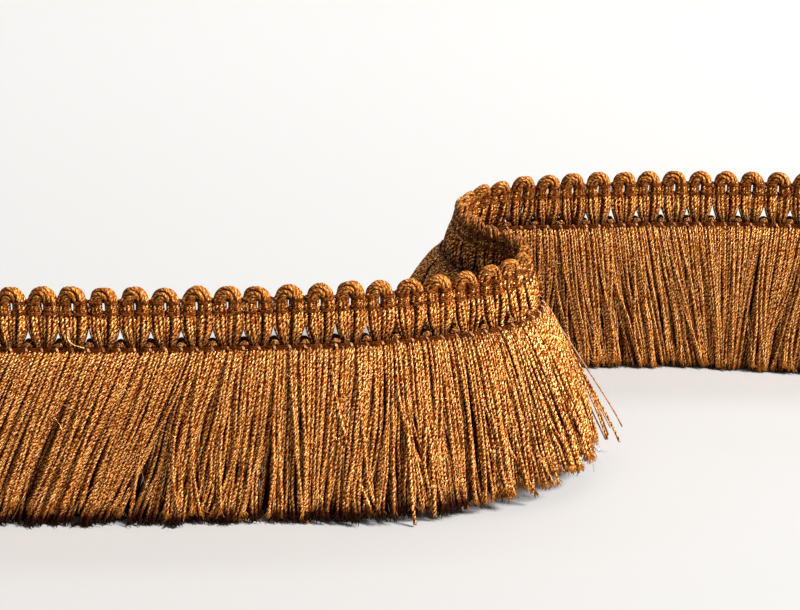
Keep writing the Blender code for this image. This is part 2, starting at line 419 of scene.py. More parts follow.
def add(tree, kind, inputs=(), out=0, **settings):
    """Adds a shader node with its settings and inputs, and gives one of its output sockets."""
    made = tree.nodes.new("ShaderNode" + kind)
    for key, value in settings.items():
        setattr(made, key, value)
    connect(tree, made, inputs)
    return made.outputs[out]


# A twisted yarn's look: silky brown viscose with sparks of gold film. Deep is the painted shade
# between yarns, groove the painted shade in the depth between its plies, ply and ply_light the
# viscose, film the metallised strip and fibre its untwisted ends. Turn is the length of one turn in
# millimetres
Yarn = namedtuple("Yarn", "name deep groove ply ply_light film fibre turn")
CUT_YARN = Yarn("metallised_viscose_cut", "#2C0400", "#4A1000", "#943C00", "#C67618", "#FFCA7E",
                "#C87C30", 2.1)
LOOPED_YARN = Yarn("metallised_viscose_looped", "#2C0400", "#4A1000", "#8E3800", "#C07016", "#FFC676",
                   "#B87028", 2.1)
YARN_SHEEN = "#FFC48C"
YARN_GLOSS = 0.25

# Its relief: the plies, how tightly and how unevenly they are turned, and the grains that the film
# breaks them into, with their length in millimetres and their number across a ply. A share says how
# much each adds. Between the relief's limits the grooves' painted shade gives way to the plies' colour
PLIES = 2
TIGHTNESS = (0.8, 1.25)
UNEVEN_TWIST = 2.4
PLY_SHARE = 0.6
GRAIN_LENGTH = 0.44
GRAINS_ACROSS = 1.6
GRAIN_SHARE = 1.8
RELIEF_LIMITS = (1.02, 1.40)
RELIEF_DEPTH = 0.18 * MM

# Its colours: length in millimetres and limits of the noise that makes it lighter and darker, and
# the limits of the grain and of the plies' height between which the film comes up
SLOW_LENGTH = 4.5
SLOW_LIMITS = (0.35, 0.65)
FILM_GRAIN = (0.50, 0.55)
FILM_RIDGE = (0.40, 0.65)

# Metallic and roughness of the viscose and of the film
YARN_METALLIC = (0.20, 0.55)
YARN_ROUGHNESS = (0.60, 0.42)

# How far a yarn's random number turns its plies, and how far it moves the yarn through the noises
TURN_APART = 37.0
NOISE_APART = 190.0

# Ends in the skirt's own shade, painted near-black: from a painted shade of 1 to this one they turn to
# this colour
DEEPEST_PAINTED_SHADE = 2.0
PAINTED_UNDER_SHADE = "#0A0200"


def twisted_yarn(yarn):
    """Viscose plies wrapped with metallised film: bright broken grains that lie aslant the yarn.

    A point's ply is the share of the way round times the number of plies, less as many for each
    turn along the yarn. The plies' height is the absolute cosine of that times half a turn. A noise
    that runs along each ply breaks them into grains, whose relief adds to the plies' own; where the
    relief is low the colour is the grooves' painted shade. Film shows on the ridges where that noise
    passes a limit. A slow noise along each yarn makes it lighter and darker and its twist uneven. Its
    loose ends are plain fibre. The point's painted shade mixes its colour with the painted shade
    between the yarns, and past 1 with the near-black painted shade under the skirt.
    """
    made, tree, shader = new_material(yarn.name)
    uv = add(tree, "UVMap", uv_map="yarn")
    strand, tint, loose = (add(tree, "Attribute", attribute_name=kind, out="Fac")
                           for kind in POINT_VALUES)
    length = add(tree, "SeparateXYZ", [uv], out=1)
    tightness = add(tree, "MapRange", [strand, 0.0, 1.0, *TIGHTNESS])
    turned = add(tree, "Math", [length, tightness], operation="MULTIPLY")
    round_way = add(tree, "SeparateXYZ", [uv])
    place = add(tree, "CombineXYZ", [round_way, turned, strand])
    ply = add(tree, "VectorMath", [place, (PLIES, -PLIES / yarn.turn, TURN_APART)], out="Value",
              operation="DOT_PRODUCT")
    slow_place = add(tree, "CombineXYZ", [0.0, length, strand])
    slow_place = add(tree, "VectorMath", [slow_place, (0.0, 1 / SLOW_LENGTH, NOISE_APART)],
                     operation="MULTIPLY")
    slow = add(tree, "TexNoise", {"Vector": slow_place, "Scale": 1.0, "Detail": 2.0})
    ply = add(tree, "Math", [slow, UNEVEN_TWIST, ply], operation="MULTIPLY_ADD")
    angle = add(tree, "Math", [ply, math.pi], operation="MULTIPLY")
    wave = add(tree, "Math", [angle], operation="COSINE")
    height = add(tree, "Math", [wave], operation="ABSOLUTE")

    grain_place = add(tree, "CombineXYZ", [ply, length, strand])
    grain_scale = (GRAINS_ACROSS, 1 / GRAIN_LENGTH, NOISE_APART)
    grain_place = add(tree, "VectorMath", [grain_place, grain_scale], operation="MULTIPLY")
    grain = add(tree, "TexNoise", {"Vector": grain_place, "Scale": 1.0, "Detail": 1.0})
    film = add(tree, "MapRange", [grain, *FILM_GRAIN])
    ridge = add(tree, "MapRange", [height, *FILM_RIDGE])
    film = add(tree, "Math", [film, ridge], operation="MULTIPLY")
    twisted = add(tree, "Math", [1.0, loose], operation="SUBTRACT")
    film = add(tree, "Math", [film, twisted], operation="MULTIPLY")

    light = add(tree, "MapRange", [slow, *SLOW_LIMITS])
    colour = add(tree, "Mix", {0: light, 6: linear(yarn.ply), 7: linear(yarn.ply_light)}, out=2,
                 data_type="RGBA")
    relief = add(tree, "Math", [height, PLY_SHARE], operation="MULTIPLY")
    relief = add(tree, "Math", [grain, GRAIN_SHARE, relief], operation="MULTIPLY_ADD")
    lit = add(tree, "MapRange", [relief, *RELIEF_LIMITS])
    colour = add(tree, "Mix", {0: lit, 6: linear(yarn.groove), 7: colour}, out=2, data_type="RGBA")
    under = add(tree, "MapRange", [tint, 1.0, DEEPEST_PAINTED_SHADE])
    for share, other in ((film, yarn.film), (loose, yarn.fibre), (tint, yarn.deep), (under, PAINTED_UNDER_SHADE)):
        colour = add(tree, "Mix", {0: share, 6: colour, 7: linear(other)}, out=2, data_type="RGBA")
    connect(tree, shader, {
        "Base Color": colour,
        "Metallic": add(tree, "MapRange", [film, 0.0, 1.0, *YARN_METALLIC]),
        "Roughness": add(tree, "MapRange", [film, 0.0, 1.0, *YARN_ROUGHNESS]),
        "Specular IOR Level": YARN_GLOSS,
        "Specular Tint": linear(YARN_SHEEN),
        "Normal": add(tree, "Bump", {"Strength": 1.0, "Distance": RELIEF_DEPTH, "Height": relief}),
    })
    return made


# A fine thread's look: smooth filament, with a painted silky line of light on each ridge of its twist.
# Dark is its own colour darkened by painted shade in its grooves, and light its own colour lightened
# by the painted highlight on its ridges
Thread = namedtuple("Thread", "name dark light roughness metallic")
BINDING_THREAD = Thread("filament_rayon_binding", "#340E00", "#9A5420", 0.5, 0.3)
CHAIN_THREAD = Thread("filament_rayon_chain", "#260800", "#6E340A", 0.5, 0.2)
STITCH_THREAD = Thread("copper_rayon_stitch", "#7E4016", "#F0B488", 0.4, 0.1)
FINE_YARN = Thread("unwound_viscose_ply", "#8A5A3C", "#D9A98C", 0.45, 0.3)
LOOSE_FILM = Thread("loose_metallised_film", "#9C6420", "#FFE2A4", 0.35, 0.7)
THREAD_GLOSS = 0.12

# Its relief: ridges round it and in each millimetre of it, their depth and strength. A noise with
# patches of this size makes it lighter between these limits
THREAD_PLIES = 2.0
THREAD_RIDGES = 1.6
THREAD_DEPTH = 0.05 * MM
THREAD_STRENGTH = 0.8
THREAD_PATCH = 0.8 * MM
THREAD_LIMITS = (0.35, 0.7)


def plain_thread(thread):
    """Fine twisted thread: its height is the absolute cosine of an angle that turns round it and
    along it, and a noise makes stretches of it lighter. With that height its colour runs from painted
    shade in the grooves to a painted highlight on the ridges."""
    made, tree, shader = new_material(thread.name)
    uv = add(tree, "UVMap", uv_map="yarn")
    turns = add(tree, "VectorMath", [uv, (THREAD_PLIES, -THREAD_RIDGES, 0.0)], out="Value",
                operation="DOT_PRODUCT")
    angle = add(tree, "Math", [turns, math.pi], operation="MULTIPLY")
    wave = add(tree, "Math", [angle], operation="COSINE")
    height = add(tree, "Math", [wave], operation="ABSOLUTE")
    spot = add(tree, "TexCoord", out="Object")
    noise = add(tree, "TexNoise", {"Vector": spot, "Scale": 1 / THREAD_PATCH, "Detail": 2.0})
    lit = add(tree, "MapRange", [noise, *THREAD_LIMITS])
    share = add(tree, "Math", [lit, height], operation="MULTIPLY")
    colour = add(tree, "Mix", {0: share, 6: linear(thread.dark), 7: linear(thread.light)}, out=2,
                 data_type="RGBA")
    relief = {"Strength": THREAD_STRENGTH, "Distance": THREAD_DEPTH, "Height": height}
    connect(tree, shader, {
        "Base Color": colour,
        "Metallic": thread.metallic,
        "Roughness": thread.roughness,
        "Specular IOR Level": THREAD_GLOSS,
        "Specular Tint": linear(YARN_SHEEN),
        "Normal": add(tree, "Bump", relief),
    })
    return made


# Skirt

def waving(t, size, waves, rng, count):
    """For each yarn a sine wave down its length, of random size and phase, that starts from nothing."""
    phase = rng.uniform(0, 2 * np.pi, count)[:, None]
    high = rng.normal(0, size, count)[:, None]
    return high * (np.sin(phase + 2 * np.pi * waves * t) - np.sin(phase)) * t


def station_shares(count):
    """Even shares of the way down a yarn, the last but one where its frayed stretch begins."""
    return np.append(np.linspace(0, 1 - FRAYED_SHARE, count - 1), 1.0)


def bunches(start, length, roots, face, rng):
    """Parts each face's length into bunches of random width, and gives each yarn's bunch and each
    bunch's middle."""
    widths = rng.uniform(BUNCH_NARROWEST, BUNCH_WIDEST, (2, int(length / BUNCH_NARROWEST) + 2))
    edges = start - rng.uniform(0, BUNCH_NARROWEST, (2, 1)) + np.cumsum(widths, 1)
    bunch = np.where(face, np.searchsorted(edges[1], roots), np.searchsorted(edges[0], roots))
    return bunch, edges - widths / 2


def grounded(s):
    """1 until the right bend starts, where the inner yarns press on the floor, and 0 past that."""
    return eased(s, *GROUNDED_GOES)


def skirt_paths(first_loop, fold, layer, rng):
    """Straight-laid paths of one layer of one fold, from under the chain stitch to their cut ends.

    Each face's yarns hang in bunches. A yarn's place along is its root, drawn towards its bunch's
    middle downwards, plus its bunch's wander and its own, which grow with a power of the way down,
    plus slow waves. Its place across is its row times the skirt's half thickness, which swells in a
    quarter circle under the root, and inner layers spread out over the floor. A few stray yarns
    wander further and lie on top. Its height falls evenly to its lift, which grows with what a yarn
    of even length gains where it is combed aslant.
    """
    start, length = first_loop * LOOP_PITCH, fold.loops * LOOP_PITCH
    columns = int(fold.loops * layer.yarns * fold.full)
    row, column = (grid.ravel() for grid in np.meshgrid(
        np.arange(len(layer.rows)), np.arange(columns), indexing="ij"))
    n = len(row)
    aside = (row % 2 + 0.5) * ROW_ASIDE
    root = start + (column + aside + rng.uniform(-ROOT_JITTER, ROOT_JITTER, n)) / columns * length
    depth = np.array(layer.rows)[row] + rng.uniform(-DEPTH_JITTER, DEPTH_JITTER, n)
    t = station_shares(layer.stations)

    face = (depth > 0).astype(int)
    bunch, middles = bunches(start, length, root, face, rng)
    of_bunch = (face, bunch)
    wander = rng.normal(0, layer.wander, middles.shape)[of_bunch]
    wander *= np.interp(root, COMB_PLACES, COMB_WANDER)
    pull = rng.uniform(*layer.pull, middles.shape)[of_bunch]
    stand_out = rng.normal(0, BUNCH_OUT, middles.shape)[of_bunch]
    longer = rng.normal(0, BUNCH_LONGER, middles.shape)[of_bunch]
    sway = waving(t, BUNCH_SWAY.size * layer.wander, BUNCH_SWAY.waves, rng, middles.size)
    sway = sway[face * middles.shape[1] + bunch]

    stray = rng.random(n) < STRAY_SHARE
    own = rng.normal(0, YARN_WANDER, n) + stray * rng.normal(0, STRAY_WANDER, n)
    s = root[:, None] + ((middles[of_bunch] - root) * pull)[:, None] * eased(t)
    s += wander[:, None] * t ** BUNCH_POWER + own[:, None] * t ** YARN_POWER + sway
    s += sum(waving(t, *wave, rng, n) for wave in WAVES_ALONG)

    swell = np.sqrt(1 - (1 - np.clip(t / BELLY_AT, 0, 1)) ** 2)
    half = ROOT_HALF + (BELLY_HALF - ROOT_HALF) * swell + (END_HALF - BELLY_HALF) * t
    d = depth[:, None] * half + stand_out[:, None] * t
    spread = np.sign(depth) * layer.spread * grounded(root)
    d += spread[:, None] * eased(t, SPREAD_FROM)
    d += sum(waving(t, *wave, rng, n) for wave in WAVES_ACROSS)
    d += (stray * np.sign(depth) * STRAY_ON_TOP)[:, None] * eased(t * 2)

    combed = SKIRT_TOP - np.sqrt(SKIRT_TOP ** 2 - np.interp(root, COMB_PLACES, COMB_AHEAD) ** 2)
    lift = layer.lift + layer.combed * combed + layer.rise * np.interp(root, ROUTE[0], ROUTE[6])
    lift += (rng.normal(0, YARN_LONGER, n) + longer) * layer.uneven
    z = SKIRT_TOP + (np.maximum(lift, SHORTEST_LIFT) - SKIRT_TOP)[:, None] * t
    return as_points(s, d, z)


def frayed_ends(flat, fray, rng):
    """Fine fibres that spread from each yarn's last stretch to a little past its end.

    A fibre's place is the stretch's start, plus its way on evenly, plus its own spread by a power of
    that. Its painted shade is as deep as the fray says, with the fray's under where the skirt is
    grounded and a share of that on the back run.
    """
    start, end = (np.repeat(flat[:, at], FIBRES, 0)[:, None] for at in (-2, -1))
    n = len(start)
    t = np.linspace(0, 1, 3)[:, None]
    spread = rng.normal(0, FIBRE_SPREAD, (n, 1, 3))
    beyond = (end - start) * rng.uniform(*FIBRE_LENGTHS, (n, 1, 1))
    paths = start + beyond * t + spread * t ** FIBRE_POWER
    paths[..., 2] = np.maximum(paths[..., 2], SHORTEST_LIFT)
    along = start[:, :, 0]
    shade = grounded(along) + BACK_SHADE * eased(along, *BACK_COMES)
    tint = rng.uniform(*fray.dark, (n, 1)) + fray.under * shade
    return Strands(paths, FIBRE_RADIUS, 3, tint=tint, loose=1.0)


def make_skirt(material):
    """One piece for each fold's yarns, in place of its solid. Their painted shade falls from the roots,
    and rises again at the ends of the inner layers where these are grounded."""
    first_loop = 0
    for number, fold in enumerate(FOLDS):
        rng = np.random.default_rng(SEED + number)
        sets = []
        for layer in LAYERS:
            flat = skirt_paths(first_loop, fold, layer, rng)
            share = station_shares(layer.stations)
            loose = FRAYED_LOOSE * eased(share, 1 - FRAYED_SHARE)
            inner = layer.tint > 0
            under = eased(share, UNDER_FROM) * inner * grounded(flat[:, :1, 0])
            tint = layer.tint + (DEEPEST_PAINTED_SHADE - layer.tint) * under
            tint = tint + ROOT_PAINTED_SHADE * eased(share, ROOT_PAINTED_SHADE_UNTIL, 0)
            bloom = np.append(np.ones(layer.stations - 1), INNER_TIP if inner else OUTER_TIP)
            radius = SKIRT_YARN / 2 * rng.uniform(*SKIRT_YARN_SIZES, len(flat))[:, None] * bloom
            sets.append(Strands(flat, radius, layer.sides, tint=tint, loose=loose))
        sets += [frayed_ends(sets[fray.layer].flat, fray, rng) for fray in FRAYS]
        piece = yarn_piece("yarns_" + fold.name, sets, material)
        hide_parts("skirt_" + fold.name)
        first_loop += fold.loops


# Heading

# Up a leg, in millimetres: height, distance of the leg's middle from the loop's, half its width and
# half its depth
Leg = namedtuple("Leg", "z out half_wide half_deep")
LEGS = (
    Leg(36.9, 0.90, 0.95, 1.20),
    Leg(38.3, 1.04, 1.16, 1.36),
    Leg(39.8, 1.32, 1.43, 1.48),
    Leg(41.5, 1.53, 1.65, 1.50),
    Leg(43.2, 1.58, 1.68, 1.36),
    Leg(44.6, 1.64, 1.54, 1.00),
    Leg(45.7, 1.68, 1.46, 1.20),
    Leg(46.9, 1.60, 1.38, 1.02),
)
ARCH_ANGLES = np.arange(160, 19, -20)
UPWARDS = (0.0, 0.0, 1.0)

# In each pair below, eased() gives 0 at the first value and 1 at the second. Round the bends the legs'
# feet are wider and close the gaps: where that comes and goes, how much, and between which heights
CLOSE_COMES = (108 * MM, 116 * MM)
CLOSE_GOES = (230 * MM, 222 * MM)
CLOSER = 0.34
CLOSER_DOWN = (42.5 * MM, 39.0 * MM)

# Shade on the arches: between which heights it comes, how deep it is, how much deeper on the side
# where the loop rises, and between which places. Arches are a little untwisted
ARCH_COMES = (46.9 * MM, 48.1 * MM)
ARCH_SHADE = 0.20
RISING_SHADE = 0.45
RISING_COMES = (0.8 * MM, -1.6 * MM)
ARCH_LOOSE = 0.3

# Shade on the feet: between which heights it comes, how deep it is, and how much less so where the
# legs are close and their gaps are lit
FOOT_COMES = (41.6 * MM, 37.8 * MM)
FOOT_SHADE = 0.75
FOOT_LIGHTER = 0.45

# Shade in the gaps of close legs: where it comes along the row, how deep it is, and between which
# places from the loop's middle, towards the next loop and between the loop's own legs
SHADED_COMES = (146 * MM, 154 * MM)
GAP_SHADE = 0.5
GAP_OUTER = (1.9 * MM, 2.8 * MM)
GAP_INNER = (0.6 * MM, 0.1 * MM)

# A leg's yarns, by their places across its width and its depth, as shares of each
BUNDLE = np.array([
    (-1.0, 0.5), (-0.36, 1.0), (0.28, 1.0), (1.0, 0.5), (-0.66, 0.0), (0.05, 0.0),
    (-0.9, -0.6), (-0.28, -1.0), (0.36, -1.0), (0.9, -0.6),
])


def loop_stations():
    """Along one loop, up a leg, over the arch and down the other leg: the bundle's middle beside the
    loop's, its height, the way outwards in the loop's plane, and half its width and its depth."""
    up = [(-leg.out, leg.z, -1.0, 0.0, leg.half_wide, leg.half_deep) for leg in LEGS]
    down = [(leg.out, leg.z, 1.0, 0.0, leg.half_wide, leg.half_deep) for leg in reversed(LEGS)]
    radius, tube = ARCH_RADIUS / MM, ARCH_TUBE / MM
    centre = TOTAL_HEIGHT / MM - radius - tube
    over = [(radius * math.cos(a), centre + radius * math.sin(a), math.cos(a), math.sin(a), tube, tube)
            for a in np.radians(ARCH_ANGLES)]
    return np.array(up + over + down) * (MM, MM, 1, 1, MM, MM)


def refined(rows, factor):
    """A table of stations with others between them, on a cubic through each four rows."""
    count = len(rows)
    at = np.linspace(0, count - 1, (count - 1) * factor + 1)
    low = np.clip(np.floor(at).astype(int), 0, count - 2)
    t = (at - low)[:, None]
    padded = np.concatenate([2 * rows[:1] - rows[1:2], rows, 2 * rows[-1:] - rows[-2:-1]])
    a, b, c, e = (padded[low + i] for i in range(4))
    return b + 0.5 * t * (c - a + t * (2 * a - 5 * b + 4 * c - e + t * (3 * (b - c) + e - a)))


def make_heading(material):
    """The row of upright loops, each a bundle of yarns side by side.

    A yarn's place is its loop's middle, plus the bundle's middle, plus its share of the bundle's half
    width along the way outwards, with its share of the half depth across. Over the arch the shares
    turn round the bundle's middle, which lays the yarns aslant there. Each loop is a little higher
    or lower than the next, and leans. Its painted shade lies on its arch, its feet and, where the
    legs are close, in the gaps. A thicker yarn in painted shade fills the bundle's middle.
    """
    rng = np.random.default_rng(SEED + 40)
    along, up, out_s, out_z, wide, deep = refined(loop_stations(), 2).T
    m, count = len(along), len(BUNDLE)
    loop = (LOOPS, 1, 1)
    yarn = (LOOPS, count, 1)
    middle = (np.arange(LOOPS).reshape(loop) + 0.5) * LOOP_PITCH + rng.normal(0, LOOP_SHIFT, loop)
    taller = rng.normal(*LOOP_TALLER, loop)
    leaning = rng.normal(0, LOOP_LEAN, loop)

    share = np.arange(m) / (m - 1)
    turn = ARCH_TWIST * rng.normal(1, TWIST_UNEVEN, loop) * eased(share, *TWIST_STRETCH)
    wide_share, deep_share = (places[:, None] + rng.uniform(-BUNDLE_JITTER, BUNDLE_JITTER, yarn)
                              for places in BUNDLE.T)
    width = wide_share * np.cos(turn) - deep_share * np.sin(turn)
    depth = wide_share * np.sin(turn) + deep_share * np.cos(turn)
    wobble = WOBBLE * np.sin(rng.uniform(0, 2 * np.pi, yarn) + np.arange(m) * WOBBLE_TURN)

    high = np.clip((up - SKIRT_HEIGHT) / (TOTAL_HEIGHT - SKIRT_HEIGHT), 0, 1)
    close = eased(middle, *CLOSE_COMES) * eased(middle, *CLOSE_GOES)
    wide = wide * (1 + CLOSER * close * eased(up, *CLOSER_DOWN))
    spread = width * (wide - LOOP_YARN / 2) + wobble
    s = middle + along + out_s * spread + leaning * high
    z = np.minimum(up + out_z * spread + taller * high ** 2, TOTAL_HEIGHT - LOOP_YARN / 2)
    d = depth * (deep - LOOP_YARN / 2) + wobble
    flat = as_points(s, d, z).reshape(LOOPS * count, m, 3)
    radius = LOOP_YARN / 2 * rng.uniform(*LOOP_YARN_SIZES, LOOPS * count)[:, None]

    arch = eased(up, *ARCH_COMES)
    shaded = close * eased(middle, *SHADED_COMES)
    beside = np.abs(along + out_s * spread)
    gap = eased(beside, *GAP_OUTER) + (1 - arch) * eased(beside, *GAP_INNER)
    tint = arch * (ARCH_SHADE + RISING_SHADE * eased(along, *RISING_COMES))
    tint = tint + (FOOT_SHADE - FOOT_LIGHTER * (close - shaded)) * eased(up, *FOOT_COMES)
    tint = (tint + GAP_SHADE * shaded * gap).reshape(LOOPS * count, m)

    along, up, wide, deep = loop_stations().T[[0, 1, 4, 5]]
    z = up + taller[..., 0] * (np.clip(up - SKIRT_HEIGHT, 0, 1) / (TOTAL_HEIGHT - SKIRT_HEIGHT)) ** 2
    core = as_points(middle[..., 0] + along, 0.0, z)
    sets = [Strands(flat, radius, tint=tint, loose=ARCH_LOOSE * arch),
            Strands(core, CORE_SHARE * np.minimum(wide, deep)[None], tint=CORE_PAINTED_SHADE)]
    piece = yarn_piece("looped_heading", sets, material)
    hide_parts("heading")


# Heights in millimetres of the threads that pass along the row and of those wrapped round the legs
BANDS = (44.44, 44.66, 44.88, 46.72, 46.94, 47.16)
WRAPPING = (45.25, 45.60, 45.95, 46.30)

# A band's thread: its radius, how far out it passes, by how much its cosine is raised before its tops
# are cut off, its stations for each leg and the ends left free. In millimetres, how far it sways and
# sinks where it passes a leg, and the sway's radians for each leg and for each millimetre up
BAND_RADIUS = 0.135 * MM
BAND_OUT = 1.16 * MM
BAND_FLATTENED = 1.9
BAND_STATIONS = 7
BAND_ENDS = 0.4 * MM
BAND_SWAY = 0.05
BAND_SINKS = 0.10
BAND_TURNS = (2.1, 9)

# A wrapped thread: its radius, half its width and half its depth, the angles that it goes round, and
# how much further apart than the leg pitch the two of a loop are
WRAP_RADIUS = 0.11 * MM
WRAP_HALF_WIDE = 1.34 * MM
WRAP_HALF_DEEP = 1.10 * MM
WRAP_ANGLE = np.linspace(0, 2.1 * np.pi, 14)
WRAP_APART = 0.10 * MM


def make_binding(material):
    """Two bands of fine threads over the legs, and threads wrapped round each leg between them.

    A band's thread has a partner on the other face. Its place across is a cosine with one wave for
    two legs, flattened by cutting its tops off, so that it passes before one leg and behind the
    next. A wrapped thread is an ellipse a little smaller than the leg, whose yarns show between.
    """
    s = np.arange(BAND_ENDS, LENGTH - BAND_ENDS, LEG_PITCH / BAND_STATIONS)
    wave = np.clip(BAND_FLATTENED * np.cos(np.pi * (s / LEG_PITCH - 0.5)), -1, 1)
    threads = []
    for height in BANDS:
        for face in (-1, 1):
            sway = BAND_SWAY * np.sin(s / LEG_PITCH * BAND_TURNS[0] + height * BAND_TURNS[1])
            z = (height + sway - BAND_SINKS * np.abs(wave)) * MM
            threads.append(as_points(s, face * BAND_OUT * wave, z))
    number = np.arange(2 * LOOPS)[:, None, None]
    leg = (number + 0.5) * LEG_PITCH + (number % 2 - 0.5) * WRAP_APART
    height = np.array(WRAPPING)[:, None] * MM
    wraps = as_points(leg + WRAP_HALF_WIDE * np.cos(WRAP_ANGLE), WRAP_HALF_DEEP * np.sin(WRAP_ANGLE),
                      height)
    sets = [Strands(np.array(threads), BAND_RADIUS, across=UPWARDS),
            Strands(wraps.reshape(-1, len(WRAP_ANGLE), 3), WRAP_RADIUS, across=UPWARDS)]
    yarn_piece("binding_threads", sets, material)


# Chain stitch: its threads' radius, how far out they pass and bulge, their heights off its middle and
# the share of these that a stitch leaves, their stations for each leg, and the ends left free
CHAIN_RADIUS = 0.18 * MM
CHAIN_OUT = 1.55 * MM
CHAIN_BULGE = 0.55 * MM
CHAIN_STACK = (-0.36 * MM, 0.0, 0.36 * MM)
CHAIN_DRAWN_IN = 0.25
CHAIN_STATIONS = 8
CHAIN_ENDS = 0.3 * MM

# The short stitch over it: its two threads' radius and places beside its middle, half its length
# along and up, and how far out it starts and bulges
STITCH_RADIUS = 0.14 * MM
STITCH_PAIR = (-0.11 * MM, 0.11 * MM)
STITCH_HALF_ALONG = 0.20 * MM
STITCH_HALF_UP = 0.42 * MM
STITCH_OUT = 1.75 * MM
STITCH_BULGE = 0.50 * MM


def make_chain(material, stitch_material):
    """The chain stitch over the skirt's roots: on each face three fine threads, which bulge between
    the stitches, and a short slanting stitch at each leg's foot."""
    s = np.arange(CHAIN_ENDS, LENGTH - CHAIN_ENDS, LEG_PITCH / CHAIN_STATIONS)
    beat = np.abs(np.sin(np.pi * s / LEG_PITCH))
    threads = []
    for face in (-1, 1):
        for above in CHAIN_STACK:
            d = face * (CHAIN_OUT + CHAIN_BULGE * np.sqrt(beat))
            z = SKIRT_HEIGHT + above * (CHAIN_DRAWN_IN + (1 - CHAIN_DRAWN_IN) * beat)
            threads.append(as_points(s, d, z))
    sets = [Strands(np.array(threads), CHAIN_RADIUS, 5, UPWARDS)]
    yarn_piece("chain_stitch", sets, material)

    at = np.arange(1, 2 * LOOPS)[:, None] * LEG_PITCH
    t = np.linspace(0, 1, 5)
    stitches = []
    for face in (-1, 1):
        for side in STITCH_PAIR:
            along = at + side + STITCH_HALF_ALONG * (2 * t - 1)
            d = face * (STITCH_OUT + STITCH_BULGE * np.sin(np.pi * t))
            z = SKIRT_HEIGHT + STITCH_HALF_UP * (1 - 2 * t)
            stitches.append(as_points(along, d, z))
    sets = [Strands(np.concatenate(stitches), STITCH_RADIUS)]
    yarn_piece("chain_crossings", sets, stitch_material)


# The turns between two loops: their radii and angles, their yarn's radius, how far at random they are
# off along and how much higher than wide, how far above the stitch and how far out their middles
# are, the share of its radius by which a turn lies further in, and how deep the painted shade on them
# is, down in the valley between the loops
TURN_RADII = (0.80 * MM, 0.48 * MM, 0.18 * MM)
TURN_ANGLES = np.radians(np.linspace(190, -10, 9))
TURN_YARN = 0.21 * MM
TURN_SHIFT = 0.15 * MM
TURN_STRETCH = (0.75, 1.15)
TURN_ABOVE = 0.6 * MM
TURN_OUT = 1.55 * MM
TURN_IN = 0.2
TURN_PAINTED_SHADE = 0.6


def make_valley_turns(material):
    """Between two loops, on both faces, the yarn's short turn above the chain stitch: half circles
    of finer yarn, one inside the other."""
    rng = np.random.default_rng(SEED + 60)
    at = np.arange(1, LOOPS)[:, None] * LOOP_PITCH + rng.normal(0, TURN_SHIFT, (LOOPS - 1, 1))
    turns = []
    for face in (-1, 1):
        stretch = rng.uniform(*TURN_STRETCH, at.shape)
        for radius in TURN_RADII:
            s = at + radius * np.cos(TURN_ANGLES)
            z = SKIRT_HEIGHT + TURN_ABOVE + radius * stretch * np.sin(TURN_ANGLES)
            turns.append(as_points(s, face * (TURN_OUT - TURN_IN * radius), z))
    sets = [Strands(np.concatenate(turns), TURN_YARN, 5, tint=TURN_PAINTED_SHADE)]
    yarn_piece("valley_turns", sets, material)


# Loose yarns and hairs

# Unwound plies that stand off the right bend, then loose yarns: three there, and two at its start that
# hang lower than the rest. In millimetres, the root's and the end's place along the row, how far out
# the end is, its height and the radius
Stray = namedtuple("Stray", "root end out high radius")
STRAYS = (
    Stray(141.8, 143.9, 13.0, 5.0, 0.19), Stray(142.2, 143.2, 9.4, 5.5, 0.17),
    Stray(142.6, 142.4, 7.0, 3.2, 0.19), Stray(141.1, 142.1, 8.4, 4.6, 0.16),
    Stray(141.4, 141.9, 7.4, 6.5, 0.15),
)
LOOSE_YARNS = (
    Stray(141.2, 141.7, 10.2, 3.0, 0.27), Stray(141.6, 142.8, 8.8, 4.0, 0.26),
    Stray(141.0, 141.5, 7.6, 4.0, 0.30), Stray(99.8, 100.5, 6.6, 0.5, 0.38),
    Stray(103.2, 103.6, 5.2, 1.2, 0.38),
)

# How far out they start, the power of the way down by which they stand off, and their waves
STRAY_START = 2.0 * MM
STRAY_POWER = 1.1
STRAY_ALONG = Wave(0.5 * MM, 0.9)
STRAY_ACROSS = Wave(0.3 * MM, 1.2)

# A curl of film on the front run, by its places along, across and up, and its radius
CURL = np.array([(33.7, 1.6, 42.0), (33.2, 2.1, 41.1), (33.2, 2.5, 40.1), (33.7, 2.75, 39.2),
                 (34.6, 2.8, 38.6), (35.7, 2.7, 38.2), (36.5, 2.5, 37.9)]) * MM
CURL_RADIUS = 0.17 * MM

# Hairs: their number and radius, between which shares of the row and which heights they start, their
# lengths, slant in radians and least height, how far out they lie, and how they bend and lift off
HAIRS = 260
HAIR_RADIUS = 0.055 * MM
HAIR_SHARES = (0.02, 0.98)
HAIR_HEIGHTS = (6 * MM, 34 * MM)
HAIR_LENGTHS = (3 * MM, 8 * MM)
HAIR_SLANT = 0.5
HAIR_LOWEST = 1 * MM
HAIR_OUT = 3.6 * MM
HAIR_BEND = Wave(0.35 * MM, 0.8)
HAIR_LIFT = Wave(0.5 * MM, 0.6)


def stray_paths(strays, rng):
    """Straight-laid strays, which run evenly along and down and out by a power of the way down, with
    a wave along and one across."""
    root, end, out, high, radius = np.moveaxis(np.array(strays)[:, :, None] * MM, 1, 0)
    t = np.linspace(0, 1, 12)
    n = len(strays)
    s = root + (end - root) * t + waving(t, *STRAY_ALONG, rng, n)
    d = STRAY_START + (out - STRAY_START) * t ** STRAY_POWER + waving(t, *STRAY_ACROSS, rng, n)
    z = SKIRT_TOP + (high - SKIRT_TOP) * t
    return Strands(as_points(s, d, z), radius, 5)


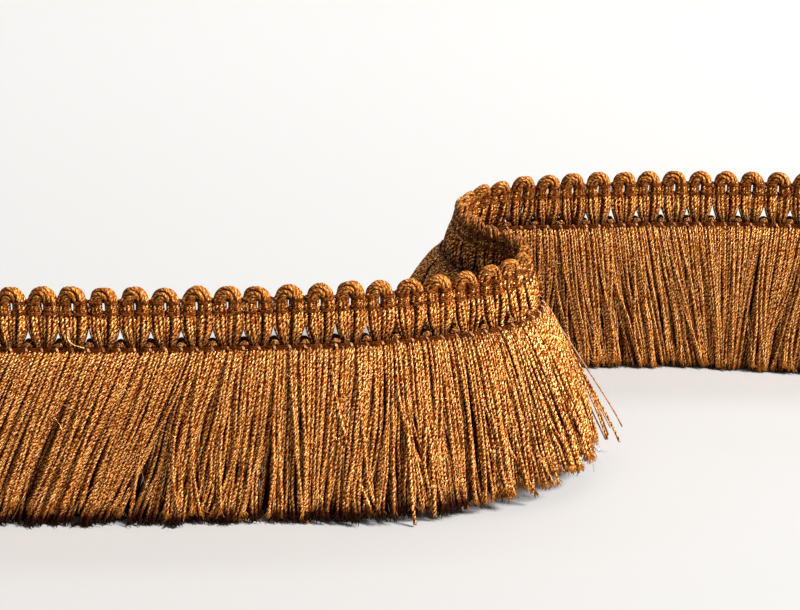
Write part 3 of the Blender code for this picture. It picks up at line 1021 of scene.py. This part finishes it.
def make_strays(yarn, material, film):
    """Loose yarns and unwound plies beside the right bend, a curl of film, and short hairs of film
    over the skirt. A hair starts on one face and runs down it at a slant, while one wave bends it and
    another lifts it off."""
    rng = np.random.default_rng(SEED + 80)
    yarn_piece("stray_plies", [stray_paths(STRAYS, rng)], material)
    yarn_piece("stray_yarns", [stray_paths(LOOSE_YARNS, rng)], yarn)

    t = np.linspace(0, 1, 7)
    one_each = (HAIRS, 1)
    start_s = rng.uniform(*HAIR_SHARES, one_each) * LENGTH
    start_z = rng.uniform(*HAIR_HEIGHTS, one_each)
    face = np.sign(rng.uniform(-1, 1, one_each))
    length = rng.uniform(*HAIR_LENGTHS, one_each)
    slant = rng.normal(0, HAIR_SLANT, one_each)
    s = start_s + length * np.sin(slant) * t + waving(t, *HAIR_BEND, rng, HAIRS)
    z = start_z - np.minimum(length, start_z - HAIR_LOWEST) * np.cos(slant) * t
    d = face * (HAIR_OUT + np.abs(waving(t, *HAIR_LIFT, rng, HAIRS)))
    sets = [Strands(refined(CURL, 3)[None], CURL_RADIUS),
            Strands(as_points(s, d, z), HAIR_RADIUS, 3)]
    yarn_piece("loose_film", sets, film)


# Stage

# Plain paper, which scatters light evenly, with hardly any shine
PAPER = "#9F9E9D"
PAPER_ROUGHNESS = 0.9


def make_stage():
    """A pale sweep: a level floor, a quarter circle far behind, and a wall."""
    near, far, turn, top, side = -1.6, 1.6, 0.7, 1.6, 2.4
    angle = np.linspace(0, np.pi / 2, 13)
    y = np.concatenate([[near], far - turn + turn * np.sin(angle), [far]])
    z = np.concatenate([[0.0], turn - turn * np.cos(angle), [top]])
    points = as_points([-side, side], y[:, None], z[:, None]).reshape(-1, 3)
    rows = np.arange(len(y) - 1)
    faces = np.stack([2 * rows, 2 * rows + 1, 2 * rows + 3, 2 * rows + 2], -1)
    mesh = bpy.data.meshes.new("sweep")
    mesh.from_pydata(points.tolist(), [], faces.tolist())
    mesh.polygons.foreach_set("use_smooth", np.ones(len(faces), bool))
    made, tree, shader = new_material("matt_white_paper")
    connect(tree, shader, {"Base Color": linear(PAPER), "Roughness": PAPER_ROUGHNESS})
    mesh.materials.append(made)
    sweep = new_object("sweep", mesh)


# Lights, by the way they lie from the fringe in degrees (to the right of the camera's side, and up),
# their distance and size, and their power in watts
Light = namedtuple("Light", "name right up distance size power colour")
LIGHTS = (
    Light("key", 60, 38, 2.4, 0.70, 177.0, (1.0, 0.997, 0.988)),
    Light("fill", -48, 30, 1.4, 0.9, 1.5, (0.97, 0.98, 1.0)),
)
WHITE = (1.0, 1.0, 1.0)
SKY = 0.28

# The wall's light: its size, power, colour and place, and how it is turned up from straight down
WALL_LIGHT = (1.6, 28.0, WHITE, (0.0, 0.75, 1.3), (math.radians(50), 0, 0))


def square_light(name, size, power, colour, place, turn):
    """A square soft light at a place, turned by three angles."""
    lamp = bpy.data.lights.new(name, "AREA")
    lamp.size = size
    lamp.energy = power
    lamp.color = colour
    made = new_object(name, lamp)
    made.location = place
    made.rotation_euler = turn


def make_lights():
    """Square soft lights turned towards the fringe, one for the wall, and an even pale sky."""
    for light in LIGHTS:
        right, up = math.radians(light.right), math.radians(light.up)
        place = (light.distance * math.cos(up) * math.sin(right),
                 -light.distance * math.cos(up) * math.cos(right),
                 light.distance * math.sin(up))
        turn = (math.pi / 2 - up, 0, right)
        square_light(light.name, light.size, light.power, light.colour, place, turn)
    square_light("wall", *WALL_LIGHT)
    world = bpy.data.worlds.new("studio")
    world.use_nodes = True
    connect(world.node_tree, world.node_tree.nodes["Background"], [(*WHITE, 1.0), SKY])
    bpy.context.scene.world = world


def make_camera():
    """The camera, level from side to side and pitched down, as it stood for the photograph."""
    camera = bpy.data.cameras.new("camera")
    camera.lens = CAMERA_LENS
    camera.sensor_width = CAMERA_SENSOR
    made = new_object("camera", camera)
    made.location = CAMERA_PLACE
    made.rotation_euler = (math.radians(90 - CAMERA_PITCH), 0, 0)
    bpy.context.scene.camera = made


def build():
    """The whole scene, with the part's looks and the stage."""
    make_camera()
    make_lights()
    make_stage()
    looped = twisted_yarn(LOOPED_YARN)
    cut = twisted_yarn(CUT_YARN)
    make_skirt(cut)
    make_heading(looped)
    make_valley_turns(looped)
    make_binding(plain_thread(BINDING_THREAD))
    make_chain(plain_thread(CHAIN_THREAD), plain_thread(STITCH_THREAD))
    make_strays(cut, plain_thread(FINE_YARN), plain_thread(LOOSE_FILM))
    bpy.context.scene.view_settings.view_transform = "Standard"


build()
